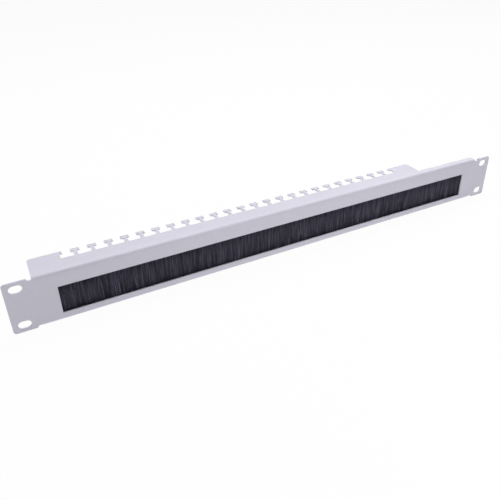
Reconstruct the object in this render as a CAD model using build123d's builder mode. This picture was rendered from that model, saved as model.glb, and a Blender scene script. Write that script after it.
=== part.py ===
"""One-unit rack panel with a brushed cable window and a comb for cable ties, in millimetres.

+X runs along the panel, +Y rearwards into the rack and +Z up. The origin is the middle of
the four rack slots, on the rear face of the ears, which meets the rack's rails.
"""

from build123d import *
import math
import os

# Folded sheet
sheet = 1.2
bend_inside_radius = 1.5
panel_length = 482.6
panel_height = 44.0
ear_corner_radius = 2.5
ear_reach = 20.5
relief_reach = 3.6
relief_depth = 1.8
top_flange_depth = 7.6
top_flange_corner_radius = 1.5
tray_depth = 100.0
tray_corner_radius = 3.0

# Rack slots in the ears
rack_slot_from_end = 8.75
rack_slot_rise = 31.75
rack_slot_length = 9.5
rack_slot_width = 6.6

# Cable window in the front plate
land_beside_window = 15.8
window_height = 24.0
land_above_window = 13.5

# T-shaped tie slots along the tray's rear edge, which leave the T-shaped tabs between them
land_beside_tie_slots = 28.05
tie_slot_pitch = 15.55
tie_mouth_width = 7.5
tie_mouth_depth = 4.2
tie_pocket_width = 12.3
tie_pocket_depth = 8.3
tie_pocket_corner_radius = 0.9

# Strip brush: filaments folded over a wire and gripped in a crimped channel
channel_wall = 0.5
channel_depth = 3.0
channel_height = 4.0
channel_above_window = 0.3
core_wire_diameter = 1.0
tuft_pitch = 3.0
brush_beside_window = 6.5
tuft_crown_depth = 2.4
tuft_ridge = 0.45
tuft_tip_above_tray = 1.6
tuft_tip_notch = 1.1
tuft_tip_scatter = 0.5

# Clamp rail and its fasteners
rail_sheet = 0.8
rail_inside_radius = 0.3
rail_below_bend = 0.1
rail_overhang = 3.0
stud_count = 3
stud_pitch = 149.0
stud_diameter = 3.0
stud_tip_chamfer = 0.3
stud_beyond_nut = 0.8
weld_flange_diameter = 3.8
weld_flange_thickness = 0.6
weld_flange_clearance = 0.1
rail_hole_clearance = 0.4
washer_outside_diameter = 6.0
washer_thickness = 0.5
washer_clearance = 0.2
nut_across_flats = 5.5
nut_height = 2.4
nut_chamfer = 0.35
thread_clearance = 0.1

# Levels and places that follow from the sizes above
half_height = panel_height / 2
bend_outside_radius = bend_inside_radius + sheet
flat_web_height = panel_height - 2 * bend_outside_radius
front_face = -sheet
tray_rear_edge = front_face + tray_depth
flange_rear_edge = front_face + top_flange_depth
tray_top = -half_height + sheet
fold_length = panel_length - 2 * ear_reach
rack_slot_span = panel_length - 2 * rack_slot_from_end
window_length = fold_length - 2 * land_beside_window
window_top = half_height - land_above_window
window_middle = window_top - window_height / 2
tie_slots_reach = fold_length - 2 * land_beside_tie_slots
tie_slot_count = 1 + round((tie_slots_reach - tie_pocket_width) / tie_slot_pitch)
tuft_count = round((window_length + 2 * brush_beside_window) / tuft_pitch)
brush_length = tuft_count * tuft_pitch
brush_middle = channel_depth / 2
channel_mouth = window_top + channel_above_window
channel_top = channel_mouth + channel_height
wire_level = channel_top - channel_depth / 2
filament_bundle_depth = channel_depth - 2 * channel_wall
tuft_tip = tray_top + tuft_tip_above_tray
rail_length = brush_length + 2 * rail_overhang
rail_front = channel_depth
rail_rear = rail_front + rail_sheet
rail_top = flat_web_height / 2 - rail_below_bend
stud_level = channel_top + weld_flange_clearance + weld_flange_diameter / 2
stud_length = rail_rear + washer_thickness + nut_height + stud_beyond_nut

os.makedirs("parts", exist_ok=True)


# Panel: one sheet with a narrow flange folded back at the top and the tray at the bottom
with BuildSketch() as tie_slot:
    with BuildLine():
        mouth_side = tie_mouth_width / 2
        pocket_side = tie_pocket_width / 2
        pocket_rear = -tie_mouth_depth
        pocket_front = pocket_rear - tie_pocket_depth
        FilletPolyline(
            (-mouth_side, sheet),
            (-mouth_side, pocket_rear),
            (-pocket_side, pocket_rear),
            (-pocket_side, pocket_front),
            (pocket_side, pocket_front),
            (pocket_side, pocket_rear),
            (mouth_side, pocket_rear),
            (mouth_side, sheet),
            radius=[
                0,
                0,
                tie_pocket_corner_radius,
                tie_pocket_corner_radius,
                tie_pocket_corner_radius,
                tie_pocket_corner_radius,
                0,
                0,
            ],
            close=True,
        )
    make_face()

with BuildPart() as panel:
    with BuildSketch(Plane.YZ):
        with BuildLine():
            FilletPolyline(
                (tray_rear_edge, -half_height),
                (front_face, -half_height),
                (front_face, half_height),
                (flange_rear_edge, half_height),
                radius=bend_outside_radius,
            )
            offset(amount=sheet, side=Side.RIGHT)
        make_face()
    extrude(amount=fold_length / 2, both=True)

    with BuildSketch(Plane.XZ) as plate_outline:
        Rectangle(panel_length, flat_web_height)
        with GridLocations(panel_length - ear_reach, 0, 2, 1):
            Rectangle(ear_reach, panel_height)
        ear_corners = plate_outline.vertices().group_by(Axis.X)
        fillet(ear_corners[0] + ear_corners[-1], radius=ear_corner_radius)
        with GridLocations(fold_length, panel_height, 2, 2):
            SlotOverall(2 * relief_reach, 2 * relief_depth, mode=Mode.SUBTRACT)
    extrude(amount=sheet)

    with BuildSketch(Plane.XZ):
        with Locations((0, window_middle)):
            Rectangle(window_length, window_height)
        with GridLocations(rack_slot_span, rack_slot_rise, 2, 2):
            SlotOverall(rack_slot_length, rack_slot_width)
    extrude(amount=sheet, mode=Mode.SUBTRACT)

    with BuildSketch(Plane((0, tray_rear_edge, -half_height))):
        with GridLocations(tie_slot_pitch, 0, tie_slot_count, 1):
            add(tie_slot.sketch)
    extrude(amount=sheet, mode=Mode.SUBTRACT)

    tray_edge_corners = panel.edges().filter_by(Axis.Z).group_by(Axis.Y)[-1].sort_by(Axis.X)
    fillet([tray_edge_corners[0], tray_edge_corners[-1]], radius=tray_corner_radius)
    fillet(
        panel.edges().filter_by(Axis.Z).filter_by_position(Axis.Z, half_height - sheet, half_height),
        radius=top_flange_corner_radius,
    )
panel.part.label = "panel"
export_step(panel.part, "parts/panel.step")


# Brush channel: a crimped U along the whole brush, open downwards
with BuildPart() as brush_channel:
    with BuildSketch(Plane.YZ):
        with BuildLine():
            front_leg = Line((0, channel_mouth), (0, wire_level))
            crown = RadiusArc(front_leg @ 1, (channel_depth, wire_level), channel_depth / 2)
            Line(crown @ 1, (channel_depth, channel_mouth))
            offset(amount=channel_wall, side=Side.RIGHT)
        make_face()
    extrude(amount=brush_length / 2, both=True)
brush_channel.part.label = "brush_channel"
export_step(brush_channel.part, "parts/brush_channel.step")


# Core wire, along the middle of the channel's round crown
with BuildPart() as core_wire:
    with BuildSketch(Plane.YZ):
        with Locations((brush_middle, wire_level)):
            Circle(core_wire_diameter / 2)
    extrude(amount=brush_length / 2, both=True)
core_wire.part.label = "core_wire"
export_step(core_wire.part, "parts/core_wire.step")


# Bristles: the bundle folded over the wire, and below the channel a curtain of tufts
def tip_level(tuft):
    """Height of one tuft's tip, a little uneven from the curtain's middle to its ends."""
    from_middle = abs(tuft - (tuft_count - 1) / 2)
    return tuft_tip + tuft_tip_scatter * math.sin(from_middle * 2.4) * math.cos(from_middle * 0.7)


with BuildPart() as bristles:
    with BuildSketch(Plane.YZ):
        with Locations((brush_middle, wire_level)):
            Circle(filament_bundle_depth / 2)
        with Locations((brush_middle, (wire_level + channel_mouth) / 2)):
            Rectangle(filament_bundle_depth, wire_level - channel_mouth)
        with Locations((brush_middle, wire_level)):
            Circle(core_wire_diameter / 2, mode=Mode.SUBTRACT)
    extrude(amount=brush_length / 2, both=True)

    with BuildSketch(Plane((0, brush_middle, channel_mouth))):
        with BuildLine():
            crown = tuft_crown_depth / 2
            groove = crown - tuft_ridge
            ridge_points = [(-brush_length / 2, groove)]
            for tuft in range(tuft_count):
                left = tuft * tuft_pitch - brush_length / 2
                ridge_points.append((left + tuft_pitch / 2, crown))
                ridge_points.append((left + tuft_pitch, groove))
            Polyline(*ridge_points)
            mirror(about=Plane.XZ)
            Line((-brush_length / 2, -groove), (-brush_length / 2, groove))
            Line((brush_length / 2, -groove), (brush_length / 2, groove))
        make_face()
    extrude(amount=tuft_tip - tuft_tip_scatter - channel_mouth)

    with BuildSketch(Plane.XZ.offset(-channel_depth)):
        with BuildLine():
            tip_points = [(-brush_length / 2, tip_level(0) + tuft_tip_notch)]
            for tuft in range(tuft_count):
                left = tuft * tuft_pitch - brush_length / 2
                tip_points.append((left + tuft_pitch / 2, tip_level(tuft)))
                tip_points.append((left + tuft_pitch, tip_level(tuft) + tuft_tip_notch))
            below_tips = tray_top
            Polyline(
                *tip_points,
                (brush_length / 2, below_tips),
                (-brush_length / 2, below_tips),
                close=True,
            )
        make_face()
    extrude(amount=channel_depth, mode=Mode.SUBTRACT)
bristles.part.label = "bristles"
export_step(bristles.part, "parts/bristles.step")


# Clamp rail: an angle whose foot stands on the plate and whose leg presses on the channel
with BuildPart() as clamp_rail:
    with BuildSketch(Plane.YZ):
        with BuildLine():
            FilletPolyline(
                (0, rail_top),
                (rail_rear, rail_top),
                (rail_rear, channel_mouth),
                radius=rail_inside_radius + rail_sheet,
            )
            offset(amount=rail_sheet, side=Side.RIGHT)
        make_face()
    extrude(amount=rail_length / 2, both=True)
    with BuildSketch(Plane.XZ.offset(-rail_rear)):
        with Locations((0, stud_level)):
            with GridLocations(stud_pitch, 0, stud_count, 1):
                Circle((stud_diameter + rail_hole_clearance) / 2)
    extrude(amount=rail_sheet, mode=Mode.SUBTRACT)
clamp_rail.part.label = "clamp_rail"
export_step(clamp_rail.part, "parts/clamp_rail.step")


# Weld studs: plain pins on small round flanges, on the rear face of the plate
with BuildPart() as stud:
    with BuildSketch(Plane.XZ):
        Circle(weld_flange_diameter / 2)
    extrude(amount=-weld_flange_thickness)
    with BuildSketch(Plane.XZ):
        Circle(stud_diameter / 2)
    extrude(amount=-stud_length)
    chamfer(stud.edges().group_by(Axis.Y)[-1], length=stud_tip_chamfer)

with BuildPart() as weld_studs:
    with Locations((0, 0, stud_level)):
        with GridLocations(stud_pitch, 0, stud_count, 1):
            add(stud.part)
weld_studs.part.label = "weld_studs"
export_step(weld_studs.part, "parts/weld_studs.step")


# Washers, on the rear face of the rail
with BuildPart() as washer:
    with BuildSketch(Plane.XZ):
        Circle(washer_outside_diameter / 2)
        Circle((stud_diameter + washer_clearance) / 2, mode=Mode.SUBTRACT)
    extrude(amount=-washer_thickness)

with BuildPart() as washers:
    with Locations((0, rail_rear, stud_level)):
        with GridLocations(stud_pitch, 0, stud_count, 1):
            add(washer.part)
washers.part.label = "washers"
export_step(washers.part, "parts/washers.step")


# Nuts: hexagons with turned corners, on the washers
nut_across_corners = nut_across_flats / math.cos(math.pi / 6)
with BuildPart() as nut:
    Cylinder(
        radius=nut_across_corners / 2,
        height=nut_height,
        rotation=(90, 0, 0),
        align=(Align.CENTER, Align.CENTER, Align.MAX),
    )
    chamfer(nut.edges(), length=nut_chamfer, length2=nut_chamfer * math.tan(math.pi / 3))
    with BuildSketch(Plane.XZ):
        RegularPolygon(nut_across_flats / 2, 6, major_radius=False)
        Circle((stud_diameter + thread_clearance) / 2, mode=Mode.SUBTRACT)
    extrude(amount=-nut_height, mode=Mode.INTERSECT)

with BuildPart() as nuts:
    with Locations((0, rail_rear + washer_thickness, stud_level)):
        with GridLocations(stud_pitch, 0, stud_count, 1):
            add(nut.part)
nuts.part.label = "nuts"
export_step(nuts.part, "parts/nuts.step")
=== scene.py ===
"""Dresses the one-unit rack cable entry panel and sets it in a plain studio.

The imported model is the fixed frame. The sheet gets soft coated edges, the brush gets its
filaments, the weld studs get their threads, and every node gets its finish. Lengths are in
metres: +X runs along the panel, +Y into the rack and +Z up.
"""

import logging
import math
import random
from dataclasses import dataclass, field
from enum import Enum
from typing import Callable

import bpy
from mathutils import Matrix, Vector


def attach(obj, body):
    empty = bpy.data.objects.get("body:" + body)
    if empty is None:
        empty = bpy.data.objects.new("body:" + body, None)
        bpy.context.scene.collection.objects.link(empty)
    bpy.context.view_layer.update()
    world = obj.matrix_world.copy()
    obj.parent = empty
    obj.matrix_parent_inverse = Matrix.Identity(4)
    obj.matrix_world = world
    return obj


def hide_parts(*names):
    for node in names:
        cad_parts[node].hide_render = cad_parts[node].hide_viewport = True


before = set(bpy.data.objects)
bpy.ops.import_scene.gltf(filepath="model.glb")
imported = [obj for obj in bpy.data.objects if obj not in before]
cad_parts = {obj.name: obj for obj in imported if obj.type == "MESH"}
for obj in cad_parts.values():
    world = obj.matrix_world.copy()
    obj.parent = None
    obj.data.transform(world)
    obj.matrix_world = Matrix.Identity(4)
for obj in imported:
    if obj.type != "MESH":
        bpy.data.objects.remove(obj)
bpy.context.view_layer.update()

MM = 0.001
IMAGE_SIDE_PX = 500
SENSOR_WIDTH_MM = 36.0
MERGE_DISTANCE = 0.001 * MM
STUD_PITCH = 149.0 * MM
STUD_LEVEL = 14.8 * MM
SHADE_ATTRIBUTE = "shade"
# Marks the rounded edges, whose darker colour is partly thinner coat and partly painted shade.
EDGE_ATTRIBUTE = "edge_coat_and_shade"
FLOAT = "NodeSocketFloat"
VECTOR = "NodeSocketVector"

Place = tuple[float, float, float]
Colour = tuple[float, float, float, float]
Span = tuple[float, float]

WHITE: Colour = (1.0, 1.0, 1.0, 1.0)

log = logging.getLogger("cable_entry_panel")


class Slot(Enum):
    """The record's material slots."""

    POWDER_COAT = "powder_coat"
    PLATED_STUDS = "plated_studs"
    GALVANISED_STRIP = "galvanised_strip"
    STEEL_WIRE = "steel_wire"
    BLACK_FILAMENT = "black_filament"
    ZINC_RAIL = "zinc_plated_rail"
    ZINC_WASHERS = "zinc_plated_washers"
    ZINC_NUTS = "zinc_plated_nuts"


def take(obj: bpy.types.Object) -> None:
    """Make obj the only selected and active object.

    Args:
        obj: The object that the next operators act on.
    """
    bpy.ops.object.select_all(action="DESELECT")
    obj.select_set(True)
    bpy.context.view_layer.objects.active = obj


def enter_edit(obj: bpy.types.Object) -> None:
    """Open a mesh in edit mode with all of it selected.

    Args:
        obj: The mesh object, in object mode.
    """
    take(obj)
    bpy.ops.object.mode_set(mode="EDIT")
    bpy.ops.mesh.select_all(action="SELECT")


def leave_edit() -> None:
    """Return to object mode."""
    bpy.ops.object.mode_set(mode="OBJECT")


def pick_vertices(obj: bpy.types.Object, test: Callable[[Vector], bool]) -> None:
    """Select the vertices of a mesh whose place passes a test, and stay in edit mode.

    Args:
        obj: The mesh object, in object mode.
        test: Says of a vertex's place whether it is wanted.
    """
    enter_edit(obj)
    bpy.ops.mesh.select_mode(type="VERT")
    bpy.ops.mesh.select_all(action="DESELECT")
    leave_edit()
    for vertex in obj.data.vertices:
        vertex.select = test(vertex.co)
    bpy.ops.object.mode_set(mode="EDIT")


def settle(obj: bpy.types.Object) -> None:
    """Put an object's place, turn and scale into its mesh.

    Args:
        obj: The object to settle at the origin.
    """
    take(obj)
    bpy.ops.object.transform_apply(location=True, rotation=True, scale=True)


def apply_modifiers(obj: bpy.types.Object) -> None:
    """Apply all modifiers of an object in their order.

    Args:
        obj: The object to finish.
    """
    take(obj)
    for modifier in list(obj.modifiers):
        bpy.ops.object.modifier_apply(modifier=modifier.name)


def join(objects: list[bpy.types.Object], name: str) -> bpy.types.Object:
    """Join mesh objects into the first of them.

    Args:
        objects: The objects, the first of which stays.
        name: The name of the joined object.

    Returns:
        The joined object.
    """
    bpy.ops.object.select_all(action="DESELECT")
    for obj in objects:
        obj.select_set(True)
    bpy.context.view_layer.objects.active = objects[0]
    bpy.ops.object.join()
    objects[0].name = name
    return objects[0]


def copy_of(obj: bpy.types.Object, matrix: Matrix) -> bpy.types.Object:
    """Copy an object with its own mesh, moved by a matrix.

    Args:
        obj: The object to copy.
        matrix: The move that goes into the copy's mesh.

    Returns:
        The copy.
    """
    mesh = obj.data.copy()
    mesh.transform(matrix)
    twin = bpy.data.objects.new(obj.name, mesh)
    bpy.context.scene.collection.objects.link(twin)
    return twin


def drop(objects: list[bpy.types.Object]) -> None:
    """Remove objects that were only patterns for copies.

    Args:
        objects: The objects to remove.
    """
    for obj in objects:
        mesh = obj.data
        bpy.data.objects.remove(obj)
        bpy.data.meshes.remove(mesh)


def clean_shell(obj: bpy.types.Object) -> None:
    """Merge doubles and turn all faces of a closed piece outwards.

    Args:
        obj: The mesh object.
    """
    enter_edit(obj)
    bpy.ops.mesh.remove_doubles(threshold=MERGE_DISTANCE)
    bpy.ops.mesh.normals_make_consistent(inside=False)
    leave_edit()


def smooth_by_angle(obj: bpy.types.Object, angle: float) -> None:
    """Shade an object smooth except where its faces meet at a sharper angle.

    Args:
        obj: The mesh object.
        angle: The sharpest angle that still looks round.
    """
    take(obj)
    bpy.ops.object.shade_smooth_by_angle(angle=angle)


def new_cylinder(sides: int, radius: float, length: float, middle: Place, turn: Place) -> bpy.types.Object:
    """Add a closed cylinder and settle it at the origin.

    Args:
        sides: How many flat sides stand for its round.
        radius: Its radius.
        length: Its length, along Z before the turn.
        middle: The place of its middle.
        turn: Its turn about X, Y and Z.

    Returns:
        The cylinder.
    """
    bpy.ops.object.select_all(action="DESELECT")
    bpy.ops.mesh.primitive_cylinder_add(
        vertices=sides,
        radius=radius,
        depth=length,
        location=middle,
        rotation=turn,
    )
    cylinder = bpy.context.active_object
    settle(cylinder)
    return cylinder


def shear(lean_x: float, lean_y: float) -> Matrix:
    """Matrix that leans an upright shape by its height.

    Args:
        lean_x: Shift along X per metre of height.
        lean_y: Shift along Y per metre of height.

    Returns:
        The leaning matrix.
    """
    matrix = Matrix.Identity(4)
    matrix[0][2] = lean_x
    matrix[1][2] = lean_y
    return matrix


def finish_piece(piece: bpy.types.Object, material: bpy.types.Material) -> None:
    """Dress a new piece and let it ride on the object.

    Args:
        piece: The new mesh object.
        material: Its material.
    """
    piece.data.materials.clear()
    piece.data.materials.append(material)
    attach(piece, "root")
    log.info("%s: %d vertices", piece.name, len(piece.data.vertices))


def dress_node(name: str, material: bpy.types.Material) -> None:
    """Give a CAD node its material.

    Args:
        name: The node's name.
        material: The material for all its slots.
    """
    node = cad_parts[name]
    for place in node.material_slots:
        place.material = material
    log.info("%s: dressed in %s", name, material.name)


@dataclass(frozen=True)
class Grain:
    """The size and fineness of a noise pattern."""

    scale: float
    detail: float
    roughness: float = 0.5


class NodeSheet:
    """Adds and links nodes in one shader tree."""

    def __init__(self, tree: bpy.types.NodeTree) -> None:
        """Start on an emptied tree of a material, a world or a group."""
        self.tree = tree
        tree.nodes.clear()

    def feed(self, socket: bpy.types.NodeSocket, value: object) -> None:
        """Link or set an input.

        Args:
            socket: The input.
            value: An output socket to link, or the value to set.
        """
        if isinstance(value, bpy.types.NodeSocket):
            self.tree.links.new(value, socket)
        else:
            socket.default_value = value

    def add(self, kind: str, inputs: dict | None = None, **settings: object) -> bpy.types.Node:
        """Add a node.

        Args:
            kind: The node's type name.
            inputs: Values or output sockets for its inputs, by input name or number.
            **settings: Attributes of the node.

        Returns:
            The new node.
        """
        node = self.tree.nodes.new(kind)
        for key, value in settings.items():
            setattr(node, key, value)
        for key, value in (inputs or {}).items():
            self.feed(node.inputs[key], value)
        return node

    def math(self, operation: str, first: object, second: object) -> bpy.types.NodeSocket:
        """Give the result of a Math node with two values or sockets."""
        return self.add("ShaderNodeMath", {0: first, 1: second}, operation=operation).outputs[0]

    def place(self) -> bpy.types.NodeSocket:
        """Give the socket of the place on the object."""
        return self.add("ShaderNodeTexCoord").outputs["Object"]

    def stretch(self, vector: bpy.types.NodeSocket, scale: object) -> bpy.types.NodeSocket:
        """Give a vector times a scale for each axis."""
        return self.add("ShaderNodeVectorMath", {0: vector, 1: scale}, operation="MULTIPLY").outputs[0]

    def spread(
        self,
        value: object,
        low: float,
        high: float,
        source: Span = (0.0, 1.0),
    ) -> bpy.types.NodeSocket:
        """Spread a value over a range.

        Args:
            value: The socket that varies.
            low: The result where the value starts.
            high: The result where the value ends.
            source: Where the value starts and ends.

        Returns:
            The result's socket.
        """
        inputs = {
            "Value": value,
            "From Min": source[0],
            "From Max": source[1],
            "To Min": low,
            "To Max": high,
        }
        return self.add("ShaderNodeMapRange", inputs).outputs["Result"]

    def noise(self, place: object, grain: Grain, scale: object = None) -> bpy.types.Node:
        """Add a noise.

        Args:
            place: The socket of the place.
            grain: Its size and fineness.
            scale: A socket that gives its scale instead, if any.

        Returns:
            The node, with outputs Fac and Color.
        """
        inputs = {
            "Vector": place,
            "Scale": grain.scale if scale is None else scale,
            "Detail": grain.detail,
            "Roughness": grain.roughness,
        }
        return self.add("ShaderNodeTexNoise", inputs)

    def bump(self, height: object, depth: object, normal: object = None) -> bpy.types.NodeSocket:
        """Add a bump at full strength.

        Args:
            height: The socket of the height.
            depth: How deep the height is, as a value or socket.
            normal: The socket of the normal that it adds to, if any.

        Returns:
            The normal's socket.
        """
        inputs = {"Height": height, "Distance": depth, "Strength": 1.0}
        if normal is not None:
            inputs["Normal"] = normal
        return self.add("ShaderNodeBump", inputs).outputs["Normal"]

    def blend_colours(self, factor: object, first: object, second: object) -> bpy.types.NodeSocket:
        """Mix two colours.

        Args:
            factor: 0 gives the first colour and 1 the second.
            first: First colour or socket.
            second: Second colour or socket.

        Returns:
            The mixed colour's socket.
        """
        node = self.add("ShaderNodeMix", data_type="RGBA")
        for key, value in {0: factor, 6: first, 7: second}.items():
            self.feed(node.inputs[key], value)
        return node.outputs[2]

    def cover(self, inputs: dict) -> None:
        """Add the Principled shader with its inputs and the material's output."""
        shader = self.add("ShaderNodeBsdfPrincipled", inputs)
        self.add("ShaderNodeOutputMaterial", {"Surface": shader.outputs[0]})


def new_material(name: str) -> tuple[bpy.types.Material, NodeSheet]:
    """Make a material with an empty tree.

    Args:
        name: Its name.

    Returns:
        The material and the sheet of its nodes.
    """
    material = bpy.data.materials.new(name)
    material.use_nodes = True
    return material, NodeSheet(material.node_tree)


def new_group(name: str, inputs: dict[str, float], outputs: dict[str, str]) -> bpy.types.NodeTree:
    """Make an empty shader node group.

    Args:
        name: The group's name.
        inputs: Names and default values of its number inputs.
        outputs: Names and socket types of its outputs.

    Returns:
        The group.
    """
    group = bpy.data.node_groups.new(name, "ShaderNodeTree")
    for key, value in inputs.items():
        socket = group.interface.new_socket(name=key, in_out="INPUT", socket_type=FLOAT)
        socket.default_value = value
    for key, kind in outputs.items():
        group.interface.new_socket(name=key, in_out="OUTPUT", socket_type=kind)
    return group


@dataclass(frozen=True)
class OrangePeel:
    """The skin of baked powder: soft dimples, fine grit and a slow drift of tone."""

    dimples: Grain = Grain(620.0, 1.5, 0.45)
    grit: Grain = Grain(3800.0, 1.0, 0.6)
    drift: Grain = Grain(26.0, 3.0, 0.55)
    grit_share: float = 0.12
    depth: float = 0.03 * MM

    def group(self) -> bpy.types.NodeTree:
        """Build the group.

        Returns:
            The group, with outputs Tone, Gloss and Normal.
        """
        group = new_group(
            "orange_peel",
            {"Dimple Scale": self.dimples.scale, "Depth": self.depth},
            {"Tone": FLOAT, "Gloss": FLOAT, "Normal": VECTOR},
        )
        sheet = NodeSheet(group)
        given = sheet.add("NodeGroupInput")
        place = sheet.place()
        dimples = sheet.noise(place, self.dimples, given.outputs["Dimple Scale"]).outputs["Fac"]
        grit = sheet.noise(place, self.grit).outputs["Fac"]
        drift = sheet.noise(place, self.drift).outputs["Fac"]
        height = sheet.math("ADD", dimples, sheet.math("MULTIPLY", grit, self.grit_share))
        normal = sheet.bump(height, given.outputs["Depth"])
        tone = sheet.math("MULTIPLY", drift, dimples)
        gloss = sheet.math("MULTIPLY", grit, drift)
        sheet.add("NodeGroupOutput", {"Tone": tone, "Gloss": gloss, "Normal": normal})
        return group


@dataclass(frozen=True)
class RolledLines:
    """The skin of drawn or rolled metal: fine lines along X, and soft clouds."""

    along: float = 40.0
    across: float = 4200.0
    depth: float = 0.0015 * MM
    lines: Grain = Grain(1.0, 4.0, 0.6)
    clouds: Grain = Grain(210.0, 3.0)

    def group(self) -> bpy.types.NodeTree:
        """Build the group.

        Returns:
            The group, with outputs Tone, Gloss and Normal.
        """
        group = new_group(
            "rolled_metal",
            {"Along": self.along, "Across": self.across, "Depth": self.depth},
            {"Tone": FLOAT, "Gloss": FLOAT, "Normal": VECTOR},
        )
        sheet = NodeSheet(group)
        given = sheet.add("NodeGroupInput")
        place = sheet.place()
        across = given.outputs["Across"]
        scale = sheet.add("ShaderNodeCombineXYZ", {0: given.outputs["Along"], 1: across, 2: across})
        lines = sheet.noise(sheet.stretch(place, scale.outputs[0]), self.lines).outputs["Fac"]
        clouds = sheet.noise(place, self.clouds).outputs["Fac"]
        normal = sheet.bump(lines, given.outputs["Depth"])
        gloss = sheet.math("MULTIPLY", lines, clouds)
        sheet.add("NodeGroupOutput", {"Tone": clouds, "Gloss": gloss, "Normal": normal})
        return group


@dataclass(frozen=True)
class Spangle:
    """The skin of hot dipped galvanised steel: crystals of differing tone and gloss."""

    crystal_scale: float = 420.0
    wander: Grain = Grain(900.0, 2.0)
    wander_reach: float = 0.9 * MM

    def group(self) -> bpy.types.NodeTree:
        """Build the group.

        Returns:
            The group, with outputs Tone and Gloss.
        """
        group = new_group("spangle", {"Crystal Scale": self.crystal_scale}, {"Tone": FLOAT, "Gloss": FLOAT})
        sheet = NodeSheet(group)
        given = sheet.add("NodeGroupInput")
        place = sheet.place()
        wander = sheet.noise(place, self.wander).outputs["Color"]
        reach = (self.wander_reach, self.wander_reach, self.wander_reach)
        shift = sheet.stretch(wander, reach)
        moved = sheet.add("ShaderNodeVectorMath", {0: place, 1: shift}, operation="ADD")
        crystals = sheet.add(
            "ShaderNodeTexVoronoi",
            {"Vector": moved.outputs[0], "Scale": given.outputs["Crystal Scale"]},
        )
        parts = sheet.add("ShaderNodeSeparateColor", {0: crystals.outputs["Color"]})
        sheet.add("NodeGroupOutput", {"Tone": parts.outputs[0], "Gloss": parts.outputs[1]})
        return group


@dataclass(frozen=True)
class PowderCoat:
    """Light grey powder coat with faint marks where the weld studs stand; its rounded edges are darker,
    partly for the thinner coat there and partly as painted shade.
    """

    colour: Colour = (0.628, 0.620, 0.712, 1.0)
    shaded: Colour = (0.600, 0.592, 0.681, 1.0)
    # Colour of the rounded edges: partly thinner coat, partly painted shade on the edges.
    thin_coat_and_painted_shade: Colour = (0.330, 0.322, 0.382, 1.0)
    tone_source: Span = (0.12, 0.4)
    gloss_source: Span = (0.1, 0.45)
    roughness_low: float = 0.38
    roughness_high: float = 0.52
    stud_pitch: float = STUD_PITCH
    stud_level: float = STUD_LEVEL
    mark_radius: float = 2.6 * MM
    mark_core: float = 0.3
    mark_depth: float = 0.04 * MM
    skin: OrangePeel = OrangePeel()

    def material(self) -> bpy.types.Material:
        """Build the material.

        Returns:
            The powder coat material.
        """
        material, sheet = new_material(Slot.POWDER_COAT.value)
        peel = sheet.add("ShaderNodeGroup", node_tree=self.skin.group())
        tone = sheet.spread(peel.outputs["Tone"], 0.0, 1.0, self.tone_source)
        flat = sheet.blend_colours(tone, self.shaded, self.colour)
        # The rounded edges take the darker colour: partly thinner coat, partly painted shade.
        edge = sheet.add("ShaderNodeAttribute", attribute_name=EDGE_ATTRIBUTE).outputs["Fac"]
        gloss = sheet.spread(
            peel.outputs["Gloss"],
            self.roughness_low,
            self.roughness_high,
            self.gloss_source,
        )
        sheet.cover(
            {
                "Base Color": sheet.blend_colours(edge, flat, self.thin_coat_and_painted_shade),
                "Roughness": gloss,
                "Normal": sheet.bump(self.weld_marks(sheet), self.mark_depth, peel.outputs["Normal"]),
            }
        )
        return material

    def weld_marks(self, sheet: NodeSheet) -> bpy.types.NodeSocket:
        """Soft round dents on the front face, in front of each weld stud.

        Args:
            sheet: The material's nodes.

        Returns:
            The socket of the dents' height.
        """
        parts = sheet.add("ShaderNodeSeparateXYZ", {0: sheet.place()})
        along = sheet.math("PINGPONG", parts.outputs[0], self.stud_pitch / 2)
        up = sheet.math("SUBTRACT", parts.outputs[2], self.stud_level)
        along_squared = sheet.math("MULTIPLY", along, along)
        up_squared = sheet.math("MULTIPLY", up, up)
        distance = sheet.math("SQRT", sheet.math("ADD", along_squared, up_squared), 0.0)
        core = self.mark_radius * self.mark_core
        dent = sheet.spread(distance, 0.0, 1.0, (core, self.mark_radius))
        dent.node.interpolation_type = "SMOOTHSTEP"
        return dent


@dataclass(frozen=True)
class Metal:
    """Plated or bare metal with fine lines along the panel."""

    slot: Slot
    colour: Colour
    shaded: Colour
    roughness_low: float
    roughness_high: float
    along: float = 40.0
    across: float = 4200.0
    tone_source: Span = (0.35, 0.65)
    gloss_source: Span = (0.12, 0.4)

    def material(self, group: bpy.types.NodeTree) -> bpy.types.Material:
        """Build the material.

        Args:
            group: The group of the rolled lines.

        Returns:
            The metal material.
        """
        material, sheet = new_material(self.slot.value)
        lines = sheet.add(
            "ShaderNodeGroup",
            {"Along": self.along, "Across": self.across},
            node_tree=group,
        )
        tone = sheet.spread(lines.outputs["Tone"], 0.0, 1.0, self.tone_source)
        gloss = sheet.spread(
            lines.outputs["Gloss"],
            self.roughness_low,
            self.roughness_high,
            self.gloss_source,
        )
        sheet.cover(
            {
                "Base Color": sheet.blend_colours(tone, self.shaded, self.colour),
                "Metallic": 1.0,
                "Roughness": gloss,
                "Normal": lines.outputs["Normal"],
            }
        )
        return material


@dataclass(frozen=True)
class Galvanised:
    """Galvanised strip steel with small crystals."""

    colour: Colour = (0.62, 0.63, 0.65, 1.0)
    shaded: Colour = (0.44, 0.45, 0.47, 1.0)
    roughness_low: float = 0.28
    roughness_high: float = 0.5
    skin: Spangle = Spangle()

    def material(self) -> bpy.types.Material:
        """Build the material.

        Returns:
            The galvanised material.
        """
        material, sheet = new_material(Slot.GALVANISED_STRIP.value)
        crystals = sheet.add("ShaderNodeGroup", node_tree=self.skin.group())
        colour = sheet.blend_colours(crystals.outputs["Tone"], self.shaded, self.colour)
        gloss = sheet.spread(crystals.outputs["Gloss"], self.roughness_low, self.roughness_high)
        sheet.cover({"Base Color": colour, "Metallic": 1.0, "Roughness": gloss})
        return material


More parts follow.
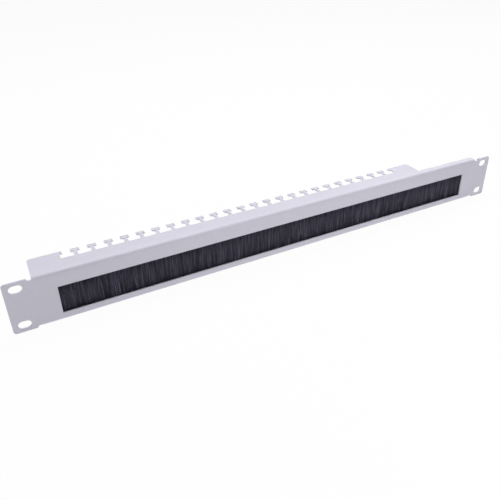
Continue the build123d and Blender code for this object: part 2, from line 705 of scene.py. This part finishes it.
@dataclass(frozen=True)
class Filament:
    """Black nylon filament, each one a little lighter or darker than its neighbours."""

    dark: Colour = (0.010, 0.010, 0.018, 1.0)
    light: Colour = (0.165, 0.158, 0.240, 1.0)
    specular: float = 0.3
    stripe_scale: Place = (5200.0, 2600.0, 160.0)
    stripes: Grain = Grain(1.0, 2.0)
    stripe_low: float = 0.7
    stripe_high: float = 1.3
    stripe_depth: float = 0.01 * MM
    lock_scale: Place = (1250.0, 160.0, 42.0)
    locks: Grain = Grain(1.0, 0.0)
    lock_source: Span = (0.3, 0.7)
    lock_low: float = 0.35
    lock_high: float = 1.65
    # These three values paint shade onto the filaments, darker towards the bottom of the brush.
    painted_bottom_shade: float = 0.66
    tip_level: float = -16.0 * MM
    full_level: float = -3.0 * MM
    roughness_low: float = 0.32
    roughness_high: float = 0.55

    def material(self, name: str, own_shades: bool) -> bpy.types.Material:
        """Build the material.

        Args:
            name: The material's name.
            own_shades: Whether each filament on the mesh has a shade of its own, or fine
                stripes stand for the filaments.

        Returns:
            The filament material.
        """
        material, sheet = new_material(name)
        place = sheet.place()
        stripes = sheet.noise(sheet.stretch(place, self.stripe_scale), self.stripes).outputs["Fac"]
        shade = self.mix_shades(sheet, place, stripes) if own_shades else stripes
        sheet.cover(
            {
                "Base Color": sheet.blend_colours(shade, self.dark, self.light),
                "Roughness": sheet.spread(stripes, self.roughness_low, self.roughness_high),
                "Specular IOR Level": self.specular,
                "Normal": sheet.bump(stripes, self.stripe_depth),
            }
        )
        return material

    def mix_shades(
        self,
        sheet: NodeSheet,
        place: bpy.types.NodeSocket,
        stripes: bpy.types.NodeSocket,
    ) -> bpy.types.NodeSocket:
        """Shade of each filament, with fine stripes, broader locks, and painted shade that darkens the
        brush towards the bottom.

        Args:
            sheet: The material's nodes.
            place: The socket of the place on the brush.
            stripes: The socket of the fine stripes.

        Returns:
            The socket of the shade.
        """
        own = sheet.add("ShaderNodeAttribute", attribute_name=SHADE_ATTRIBUTE).outputs["Fac"]
        fine = sheet.math("MULTIPLY", own, sheet.spread(stripes, self.stripe_low, self.stripe_high))
        noise = sheet.noise(sheet.stretch(place, self.lock_scale), self.locks).outputs["Fac"]
        lock = sheet.spread(noise, self.lock_low, self.lock_high, self.lock_source)
        # Painted shade: the filaments' colour darkens towards the bottom of the brush.
        height = sheet.add("ShaderNodeSeparateXYZ", {0: place}).outputs[2]
        bottom_shade = sheet.spread(height, self.painted_bottom_shade, 1.0, (self.tip_level, self.full_level))
        return sheet.math("MULTIPLY", sheet.math("MULTIPLY", fine, lock), bottom_shade)


@dataclass
class CoatedSheet:
    """The folded panel with its cut edges rounded by the coat."""

    edge_radius: float = 0.3 * MM
    edge_segments: int = 2
    edge_slot: int = 1
    edge_angle: float = math.radians(40)
    flat_angle: float = math.radians(0.5)
    smooth_angle: float = math.radians(28)
    normal_weight: int = 100
    coat: PowderCoat = field(default_factory=PowderCoat)

    def build(self) -> None:
        """Copy the CAD sheet, merge it, round its edges and coat it."""
        piece = copy_of(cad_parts["panel"], Matrix.Identity(4))
        piece.name = "coated_sheet"
        enter_edit(piece)
        bpy.ops.mesh.remove_doubles(threshold=MERGE_DISTANCE)
        bpy.ops.mesh.dissolve_limited(angle_limit=self.flat_angle)
        leave_edit()
        bevel = piece.modifiers.new("edge", "BEVEL")
        bevel.width = self.edge_radius
        bevel.segments = self.edge_segments
        bevel.limit_method = "ANGLE"
        bevel.angle_limit = self.edge_angle
        bevel.material = self.edge_slot
        while len(piece.data.materials) <= self.edge_slot:
            piece.data.materials.append(None)
        apply_modifiers(piece)
        self.mark_edges(piece)
        smooth_by_angle(piece, self.smooth_angle)
        normals = piece.modifiers.new("normals", "WEIGHTED_NORMAL")
        normals.keep_sharp = True
        normals.weight = self.normal_weight
        apply_modifiers(piece)
        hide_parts("panel")
        finish_piece(piece, self.coat.material())

    def mark_edges(self, piece: bpy.types.Object) -> None:
        """Store which faces are rounded edges, which the coat paints darker: partly thinner coat, partly
        painted shade.

        Args:
            piece: The coated sheet, whose rounded edges have a slot of their own.
        """
        marks = []
        for face in piece.data.polygons:
            marks.append(float(face.material_index == self.edge_slot))
            face.material_index = 0
        attribute = piece.data.attributes.new(EDGE_ATTRIBUTE, "FLOAT", "FACE")
        attribute.data.foreach_set("value", marks)


@dataclass
class BrushStrip:
    """The brush: thousands of filaments in leaning tufts, and their folded root in the channel."""

    length: float = 423.0 * MM
    tuft_pitch: float = 3.0 * MM
    tuft_kinds: int = 7
    clumps_in_tuft: int = 2
    filaments_in_clump: int = 48
    filament_kinds: int = 6
    filament_sides: int = 3
    filament_radius: float = 0.14 * MM
    tip_radius: float = 0.12 * MM
    root_level: float = 9.6 * MM
    tip_level: float = -18.9 * MM
    middle: float = 1.5 * MM
    root_half_depth: float = 0.85 * MM
    crown_half_depth: float = 1.08 * MM
    bow: float = 0.32 * MM
    bow_across: float = 0.5
    bow_height: float = 0.55
    bow_margin: float = 0.1
    length_span: Span = (0.975, 1.015)
    core_step: int = 3
    core_share: float = 0.3
    core_jitter: float = 0.5
    base_shade: float = 0.42
    clump_contrast: float = 0.02
    shade_scatter: float = 0.2
    tuft_tone_span: Span = (0.98, 1.02)
    clump_lean: float = 0.014
    filament_lean: float = 0.012
    tuft_lean: float = 0.006
    fan: float = 10.0
    wire_level: float = 11.3 * MM
    mouth_level: float = 8.8 * MM
    bundle_radius: float = 1.0 * MM
    bundle_sides: int = 28
    bundle_flat: float = 0.15
    bundle_smooth_angle: float = math.radians(35)
    wire_radius: float = 0.5 * MM
    wire_overlength: float = 1.1
    seed: int = 41
    finish: Filament = field(default_factory=Filament)

    def model_filament(self, bow_x: float, bow_y: float) -> bpy.types.Object:
        """Model one filament that hangs from the origin, a little bowed.

        Args:
            bow_x: How far its middle stands out along X.
            bow_y: How far its middle stands out along Y.

        Returns:
            The filament.
        """
        length = self.root_level - self.tip_level
        bpy.ops.object.select_all(action="DESELECT")
        bpy.ops.mesh.primitive_cone_add(
            vertices=self.filament_sides,
            radius1=self.tip_radius,
            radius2=self.filament_radius,
            depth=length,
            location=(0, 0, -length / 2),
        )
        filament = bpy.context.active_object
        settle(filament)
        enter_edit(filament)
        bpy.ops.mesh.bisect(plane_co=(0, 0, -length * self.bow_height), plane_no=(0, 0, 1))
        leave_edit()
        top = -length * self.bow_margin
        pick_vertices(filament, lambda co: -length - top < co.z < top)
        bpy.ops.transform.translate(value=(bow_x, bow_y, 0))
        leave_edit()
        return filament

    def add_shade(self, obj: bpy.types.Object, shade: float) -> None:
        """Store one filament's shade on its mesh.

        Args:
            obj: The filament.
            shade: From 0, dark, to 1, light.
        """
        attribute = obj.data.attributes.new(SHADE_ATTRIBUTE, "FLOAT", "POINT")
        attribute.data.foreach_set("value", [shade] * len(obj.data.vertices))

    def model_tuft(self, kinds: list[bpy.types.Object], draw: random.Random) -> bpy.types.Object:
        """Gather copies of the filaments in one tuft round the origin.

        Args:
            kinds: The filaments to copy.
            draw: The source of random numbers.

        Returns:
            The tuft.
        """
        strands = []
        splay = (self.crown_half_depth - self.root_half_depth) / (self.root_level - self.tip_level)
        clump_width = self.tuft_pitch / self.clumps_in_tuft
        light_clump = draw.randrange(self.clumps_in_tuft)
        for clump in range(self.clumps_in_tuft):
            left = clump * clump_width - self.tuft_pitch / 2
            clump_lean = draw.gauss(0.0, self.clump_lean)
            contrast = self.clump_contrast if clump == light_clump else -self.clump_contrast
            for number in range(self.filaments_in_clump):
                in_core = number % self.core_step == 0
                jitter = self.core_jitter if in_core else draw.random()
                along = left + (number + jitter) / self.filaments_in_clump * clump_width
                reach = self.core_share if in_core else 1.0
                across = draw.uniform(-reach, reach)
                own_lean = 0.0 if in_core else clump_lean + draw.gauss(0.0, self.filament_lean)
                lean = shear(own_lean - along * self.fan, -across * splay)
                stretch = Matrix.Diagonal((1, 1, draw.uniform(*self.length_span), 1))
                move = Matrix.Translation((along, across * self.root_half_depth, 0))
                strand = copy_of(draw.choice(kinds), move @ lean @ stretch)
                shade = draw.gauss(self.base_shade + contrast, self.shade_scatter)
                self.add_shade(strand, min(1.0, max(0.0, shade)))
                strands.append(strand)
        return join(strands, "tuft")

    def build_curtain(self) -> bpy.types.Object:
        """Set the tufts side by side along the channel.

        Returns:
            The curtain of filaments.
        """
        draw = random.Random(self.seed)
        kinds = []
        for _ in range(self.filament_kinds):
            bow_x = draw.uniform(-1.0, 1.0) * self.bow
            bow_y = draw.uniform(-self.bow_across, self.bow_across) * self.bow
            kinds.append(self.model_filament(bow_x, bow_y))
        tuft_kinds = []
        for _ in range(self.tuft_kinds):
            tuft_kinds.append(self.model_tuft(kinds, draw))
        drop(kinds)
        tufts = []
        for number in range(round(self.length / self.tuft_pitch)):
            along = (number + 0.5) * self.tuft_pitch - self.length / 2
            turn = Matrix.Rotation(draw.choice((0.0, math.pi)), 4, "Z")
            lean = shear(draw.gauss(0.0, self.tuft_lean), 0.0)
            move = Matrix.Translation((along, self.middle, self.root_level))
            tuft = copy_of(draw.choice(tuft_kinds), move @ lean @ turn)
            self.tone_tuft(tuft, draw.uniform(*self.tuft_tone_span))
            tufts.append(tuft)
        drop(tuft_kinds)
        curtain = join(tufts, "bristle_curtain")
        take(curtain)
        bpy.ops.object.shade_smooth()
        return curtain

    def tone_tuft(self, tuft: bpy.types.Object, factor: float) -> None:
        """Make a whole tuft lighter or darker.

        Args:
            tuft: The tuft.
            factor: What its filaments' shades are multiplied by.
        """
        shades = tuft.data.attributes[SHADE_ATTRIBUTE].data
        values = [0.0] * len(tuft.data.vertices)
        shades.foreach_get("value", values)
        shades.foreach_set("value", [min(1.0, value * factor) for value in values])

    def build_root(self) -> bpy.types.Object:
        """Model the bundle that is folded over the core wire inside the channel.

        Returns:
            The root of the brush.
        """
        middle = (0, self.middle, self.wire_level)
        turned = (0, math.pi / 2, 0)
        root = new_cylinder(self.bundle_sides, self.bundle_radius, self.length, middle, turned)
        root.name = "brush_root"
        flat_level = self.wire_level - self.bundle_radius * self.bundle_flat
        pick_vertices(root, lambda co: co.z < flat_level)
        bpy.ops.transform.resize(value=(1, 1, 0), center_override=(0, self.middle, self.mouth_level))
        leave_edit()
        bore_length = self.length * self.wire_overlength
        bore = new_cylinder(self.bundle_sides, self.wire_radius, bore_length, middle, turned)
        cut = root.modifiers.new("bore", "BOOLEAN")
        cut.operation = "DIFFERENCE"
        cut.object = bore
        apply_modifiers(root)
        drop([bore])
        clean_shell(root)
        smooth_by_angle(root, self.bundle_smooth_angle)
        return root

    def build(self) -> None:
        """Build, dress and mount the brush."""
        curtain = self.build_curtain()
        root = self.build_root()
        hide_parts("bristles")
        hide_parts("bristles")
        finish_piece(curtain, self.finish.material("black_filament", True))
        finish_piece(root, self.finish.material("black_filament_root", False))


@dataclass
class ThreadedStuds:
    """The weld studs with their threads."""

    pitch: float = STUD_PITCH
    count: int = 3
    level: float = STUD_LEVEL
    sides: int = 32
    radius: float = 1.5 * MM
    core_radius: float = 1.24 * MM
    length: float = 7.5 * MM
    flange_radius: float = 1.9 * MM
    flange_thickness: float = 0.6 * MM
    rim_radius: float = 0.12 * MM
    rim_segments: int = 2
    rim_angle: float = math.radians(60)
    thread_pitch: float = 0.5 * MM
    thread_steps: int = 24
    ridge_size: float = 1.2
    ridge_slimness: float = 0.85
    tip_chamfer: float = 0.3 * MM
    core_chamfer: float = 0.18 * MM
    tip_share: float = 0.9
    smooth_angle: float = math.radians(30)

    def model_stud(self) -> bpy.types.Object:
        """Model one stud that stands on the origin and points along +Y.

        Returns:
            The stud.
        """
        turned = (-math.pi / 2, 0, 0)
        flange_middle = (0, self.flange_thickness / 2, 0)
        flange = new_cylinder(self.sides, self.flange_radius, self.flange_thickness, flange_middle, turned)
        rim = flange.modifiers.new("rim", "BEVEL")
        rim.width = self.rim_radius
        rim.segments = self.rim_segments
        rim.angle_limit = self.rim_angle
        apply_modifiers(flange)
        core = new_cylinder(self.sides, self.core_radius, self.length, (0, self.length / 2, 0), turned)
        pick_vertices(core, lambda co: co.y > self.length * self.tip_share)
        bpy.ops.mesh.bevel(offset=self.core_chamfer, segments=1)
        leave_edit()
        return join([flange, core, self.model_ridge()], "threaded_stud")

    def model_ridge(self) -> bpy.types.Object:
        """Wind the thread's ridge round the core.

        Returns:
            The ridge, closed at both ends.
        """
        height = self.radius - self.core_radius
        start = self.flange_thickness + self.thread_pitch / 2
        turns = int((self.length - start - self.tip_chamfer - self.thread_pitch / 2) / self.thread_pitch)
        bpy.ops.object.select_all(action="DESELECT")
        bpy.ops.mesh.primitive_circle_add(
            vertices=3,
            radius=height * self.ridge_size,
            location=(self.radius - height * self.ridge_size, 0, 0),
            rotation=(0, 0, -math.pi / 2),
        )
        ridge = bpy.context.active_object
        ridge.scale = (self.ridge_slimness, 1.0, 1.0)
        settle(ridge)
        screw = ridge.modifiers.new("wind", "SCREW")
        screw.axis = "Y"
        screw.angle = 2 * math.pi
        screw.screw_offset = self.thread_pitch
        screw.iterations = turns
        screw.steps = self.thread_steps
        screw.render_steps = self.thread_steps
        screw.use_merge_vertices = False
        apply_modifiers(ridge)
        bpy.ops.object.mode_set(mode="EDIT")
        bpy.ops.mesh.select_mode(type="EDGE")
        bpy.ops.mesh.select_all(action="DESELECT")
        bpy.ops.mesh.select_non_manifold(
            extend=False,
            use_wire=False,
            use_boundary=True,
            use_multi_face=False,
            use_non_contiguous=False,
            use_verts=False,
        )
        bpy.ops.mesh.fill()
        leave_edit()
        clean_shell(ridge)
        ridge.data.transform(Matrix.Translation((0, start, 0)))
        return ridge

    def build(self, material: bpy.types.Material) -> None:
        """Copy the stud to its places and dress the row.

        Args:
            material: The plated finish.
        """
        pattern = self.model_stud()
        studs = []
        for number in range(self.count):
            along = (number - (self.count - 1) / 2) * self.pitch
            studs.append(copy_of(pattern, Matrix.Translation((along, 0, self.level))))
        drop([pattern])
        row = join(studs, "threaded_studs")
        smooth_by_angle(row, self.smooth_angle)
        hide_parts("weld_studs")
        finish_piece(row, material)


@dataclass
class Hardware:
    """The metal parts behind the plate, which keep their CAD shapes, and the threaded studs."""

    rail: Metal = Metal(
        slot=Slot.ZINC_RAIL,
        colour=(0.66, 0.68, 0.70, 1.0),
        shaded=(0.58, 0.60, 0.63, 1.0),
        roughness_low=0.36,
        roughness_high=0.5,
        along=14.0,
        across=2600.0,
    )
    washer: Metal = Metal(
        slot=Slot.ZINC_WASHERS,
        colour=(0.66, 0.67, 0.68, 1.0),
        shaded=(0.50, 0.51, 0.54, 1.0),
        roughness_low=0.26,
        roughness_high=0.46,
        along=500.0,
        across=900.0,
    )
    nut: Metal = Metal(
        slot=Slot.ZINC_NUTS,
        colour=(0.68, 0.69, 0.68, 1.0),
        shaded=(0.48, 0.50, 0.52, 1.0),
        roughness_low=0.22,
        roughness_high=0.42,
        along=700.0,
        across=700.0,
    )
    wire: Metal = Metal(
        slot=Slot.STEEL_WIRE,
        colour=(0.46, 0.46, 0.47, 1.0),
        shaded=(0.32, 0.32, 0.33, 1.0),
        roughness_low=0.3,
        roughness_high=0.5,
    )
    stud: Metal = Metal(
        slot=Slot.PLATED_STUDS,
        colour=(0.78, 0.50, 0.36, 1.0),
        shaded=(0.60, 0.36, 0.25, 1.0),
        roughness_low=0.24,
        roughness_high=0.44,
        along=600.0,
        across=600.0,
    )
    strip: Galvanised = Galvanised()
    skin: RolledLines = RolledLines()

    def build(self) -> None:
        """Dress the nodes and replace the studs."""
        group = self.skin.group()
        dress_node("clamp_rail", self.rail.material(group))
        dress_node("washers", self.washer.material(group))
        dress_node("nuts", self.nut.material(group))
        dress_node("core_wire", self.wire.material(group))
        dress_node("brush_channel", self.strip.material())
        ThreadedStuds().build(self.stud.material(group))


@dataclass(frozen=True)
class Lamp:
    """A square soft lamp."""

    name: str
    place: Place
    side: float
    power: float

    def build(self, target: Vector) -> None:
        """Hang the lamp and turn it to the target.

        Args:
            target: The place that it points at.
        """
        data = bpy.data.lights.new(self.name, "AREA")
        data.shape = "SQUARE"
        data.size = self.side
        data.energy = self.power
        lamp = bpy.data.objects.new(self.name, data)
        lamp.location = self.place
        towards = target - Vector(self.place)
        lamp.rotation_euler = towards.to_track_quat("-Z", "Y").to_euler()
        bpy.context.scene.collection.objects.link(lamp)


@dataclass
class Studio:
    """White floor and surround, soft lamps, and the camera at the photograph's angle."""

    floor_level: float = -22.0 * MM
    floor_side: float = 12.0
    floor_colour: Colour = (0.90, 0.90, 0.90, 1.0)
    floor_bounce: Colour = (0.45, 0.45, 0.45, 1.0)
    floor_glow: float = 0.955
    floor_lift: float = 0.82
    ambient: float = 0.03
    camera_place_mm: Place = (-221.268, -355.454, 243.813)
    camera_near: float = 10.0 * MM
    yaw: float = math.radians(27.953)
    pitch: float = math.radians(28.721)
    roll: float = math.radians(0.513)
    focal_px: float = 534.944
    centre_px: Span = (262.733, 214.293)
    lamp_target: Place = (0.0, 0.03, 0.0)
    lamps: tuple[Lamp, ...] = (
        Lamp("overhead", (0.03, 0.08, 1.0), 1.0, 10.0),
        Lamp("rear_high", (0.1, 0.9, 1.2), 1.2, 3.6),
        Lamp("rear_right", (1.0, 0.6, 1.0), 1.0, 5.4),
        Lamp("front_low", (0.05, -0.32, 0.018), 0.08, 0.155),
    )

    def build(self) -> None:
        """Set up the floor, the surround, the lamps and the camera."""
        self.build_floor()
        self.build_surround()
        for lamp in self.lamps:
            lamp.build(Vector(self.lamp_target))
        self.build_camera()
        bpy.context.scene.view_settings.view_transform = "Standard"

    def seen(self, sheet: NodeSheet) -> bpy.types.NodeSocket:
        """Mask of the rays that see the background as plain white.

        Args:
            sheet: The nodes of the floor or the surround.

        Returns:
            The socket that is 1 for camera, glossy and transmission rays.
        """
        path = sheet.add("ShaderNodeLightPath")
        glossy = sheet.math("MAXIMUM", path.outputs["Is Glossy Ray"], path.outputs["Is Transmission Ray"])
        return sheet.math("MAXIMUM", path.outputs["Is Camera Ray"], glossy)

    def floor_material(self) -> bpy.types.Material:
        """Build the floor's material.

        It is white to the camera, where it keeps a soft shadow, and gives the object an
        even light from below.

        Returns:
            The floor's material.
        """
        material, sheet = new_material("floor")
        seen = self.seen(sheet)
        unseen = sheet.math("SUBTRACT", 1.0, seen)
        colour = sheet.blend_colours(seen, self.floor_bounce, self.floor_colour)
        matt = sheet.add("ShaderNodeBsdfDiffuse", {"Color": colour})
        lift = sheet.add(
            "ShaderNodeEmission",
            {"Color": WHITE, "Strength": sheet.math("MULTIPLY", unseen, self.floor_lift)},
        )
        table = sheet.add("ShaderNodeAddShader", {0: matt.outputs[0], 1: lift.outputs[0]})
        glow = sheet.add("ShaderNodeEmission", {"Color": WHITE, "Strength": 1.0})
        factor = sheet.math("MULTIPLY", seen, self.floor_glow)
        mix = sheet.add("ShaderNodeMixShader", {0: factor, 1: table.outputs[0], 2: glow.outputs[0]})
        sheet.add("ShaderNodeOutputMaterial", {"Surface": mix.outputs[0]})
        return material

    def build_floor(self) -> None:
        """Lay the floor under the panel."""
        bpy.ops.object.select_all(action="DESELECT")
        bpy.ops.mesh.primitive_plane_add(size=self.floor_side, location=(0, 0, self.floor_level))
        floor = bpy.context.active_object
        floor.name = "floor"
        settle(floor)
        floor.data.materials.append(self.floor_material())

    def build_surround(self) -> None:
        """Make the world white to the camera and a plain soft light to the object."""
        world = bpy.data.worlds.new("surround")
        world.use_nodes = True
        bpy.context.scene.world = world
        sheet = NodeSheet(world.node_tree)
        light = sheet.add("ShaderNodeBackground", {"Color": WHITE, "Strength": self.ambient})
        white = sheet.add("ShaderNodeBackground", {"Color": WHITE, "Strength": 1.0})
        seen = self.seen(sheet)
        mix = sheet.add("ShaderNodeMixShader", {0: seen, 1: light.outputs[0], 2: white.outputs[0]})
        sheet.add("ShaderNodeOutputWorld", {"Surface": mix.outputs[0]})

    def build_camera(self) -> None:
        """Stand the camera where the photograph was taken from."""
        level = math.cos(self.pitch)
        ahead = Vector((math.sin(self.yaw) * level, math.cos(self.yaw) * level, -math.sin(self.pitch)))
        right = Vector((math.cos(self.yaw), -math.sin(self.yaw), 0.0))
        down = ahead.cross(right)
        turned_right = right * math.cos(self.roll) + down * math.sin(self.roll)
        turned_down = down * math.cos(self.roll) - right * math.sin(self.roll)
        data = bpy.data.cameras.new("camera")
        data.sensor_fit = "HORIZONTAL"
        data.sensor_width = SENSOR_WIDTH_MM
        data.lens = self.focal_px * SENSOR_WIDTH_MM / IMAGE_SIDE_PX
        data.shift_x = 0.5 - self.centre_px[0] / IMAGE_SIDE_PX
        data.shift_y = self.centre_px[1] / IMAGE_SIDE_PX - 0.5
        data.clip_start = self.camera_near
        camera = bpy.data.objects.new("camera", data)
        turn = Matrix((turned_right, -turned_down, -ahead)).transposed()
        camera.matrix_world = Matrix.Translation(Vector(self.camera_place_mm) * MM) @ turn.to_4x4()
        bpy.context.scene.collection.objects.link(camera)
        bpy.context.scene.camera = camera


def main() -> None:
    """Build the pieces in order."""
    logging.basicConfig(level=logging.INFO, format="%(name)s: %(message)s")
    CoatedSheet().build()
    BrushStrip().build()
    Hardware().build()
    Studio().build()


if __name__ == "__main__":
    main()
